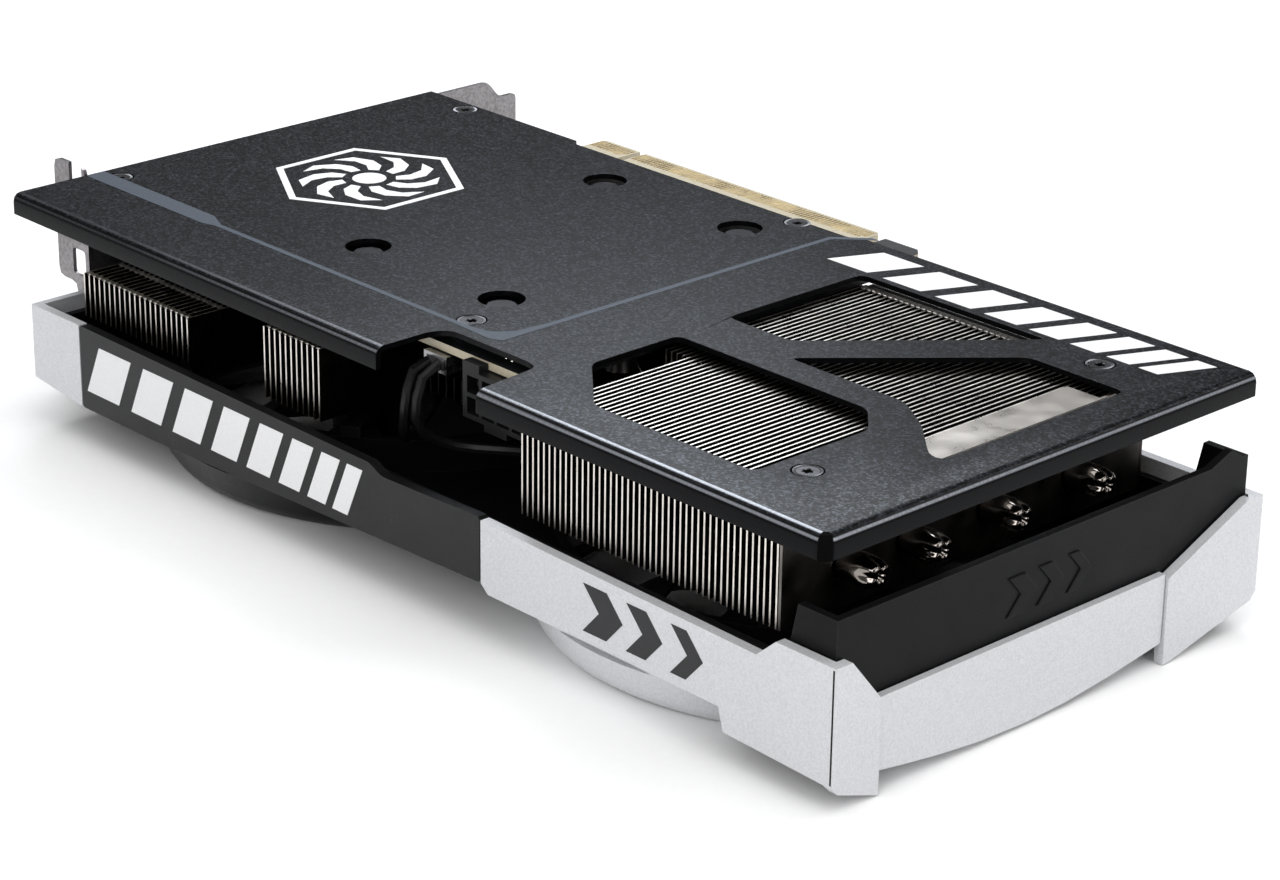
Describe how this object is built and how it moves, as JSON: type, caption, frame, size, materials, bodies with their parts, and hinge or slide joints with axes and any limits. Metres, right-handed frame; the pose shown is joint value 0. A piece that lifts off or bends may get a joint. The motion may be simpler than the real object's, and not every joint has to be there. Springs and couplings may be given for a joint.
{
  "type": "graphics card",
  "caption": "Two-slot graphics card with a folded backplate, finned cooler with heat pipes, shroud, slot bracket and two spinning fans.",
  "frame": {"origin": "middle of the footprint, on the surface the card lies on, fan side down", "axes": "+X along the card towards its free end, away from the slot bracket; +Y towards the slot connector; +Z out of the backplate"},
  "size_m": [0.2578, 0.1446, 0.049],
  "materials": {
    "cover": "fine-grained powder coat",
    "board": "solder mask",
    "chip": "matt",
    "ferrite": "matt",
    "black": "satin moulded",
    "silver": "fine metallic paint",
    "bracket": "dark nickel plate",
    "port": "satin",
    "fins": "nickel plated",
    "pipes": "nickel plated",
    "screw": "black oxide",
    "winding": "enamelled winding"
  },
  "bodies": {
    "root": {"backplate": "cover", "backplate_screw_1": "screw", "backplate_screw_2": "screw", "backplate_screw_3": "screw", "backplate_screw_4": "screw", "backplate_screw_5": "screw", "backplate_screw_6": "screw", "retention_screw_1": "screw", "retention_screw_2": "screw", "retention_screw_3": "screw", "retention_screw_4": "screw", "circuit_board": "board", "gpu_package": "chip", "memory_chip_1": "chip", "memory_chip_2": "chip", "memory_chip_3": "chip", "memory_chip_4": "chip", "power_choke_1": "ferrite", "power_choke_2": "ferrite", "power_choke_3": "ferrite", "capacitor_1": "port", "capacitor_2": "port", "power_connector": "black", "fan_header": "port", "io_bracket": "bracket", "hdmi_connector": "port", "displayport_connector_1": "port", "displayport_connector_2": "port", "displayport_connector_3": "port", "bracket_screw_1": "screw", "bracket_screw_2": "screw", "fin_stack_main": "fins", "fin_stack_bracket_side": "fins", "fin_stack_near_side": "fins", "fin_stack_centre": "fins", "stack_end_plate": "fins", "cold_plate": "pipes", "heat_pipe_1": "pipes", "heat_pipe_2": "pipes", "heat_pipe_3": "pipes", "heat_pipe_4": "pipes", "shroud": "black", "fan_ring_1": "black", "fan_ring_2": "silver", "near_band": "black", "end_trim": "silver", "far_corner_trim": "silver", "far_band": "black", "bracket_trim": "silver", "bracket_far_trim": "silver", "fan_stator_1": "winding", "fan_frame_1": "black", "fan_stator_2": "winding", "fan_frame_2": "black", "fan_cable_1": "black", "fan_cable_2": "black"},
    "fan_1": {"fan_rotor_1": "black"},
    "fan_2": {"fan_rotor_2": "black"}
  },
  "joints": [
    {"name": "fan_1_spin", "type": "hinge", "parent": "root", "child": "fan_1", "pos_m": [-0.04725, -0.0152, 0.0095], "axis": [0, 0, 1], "continuous": true},
    {"name": "fan_2_spin", "type": "hinge", "parent": "root", "child": "fan_2", "pos_m": [0.06975, -0.0152, 0.0095], "axis": [0, 0, 1], "continuous": true}
  ]
}
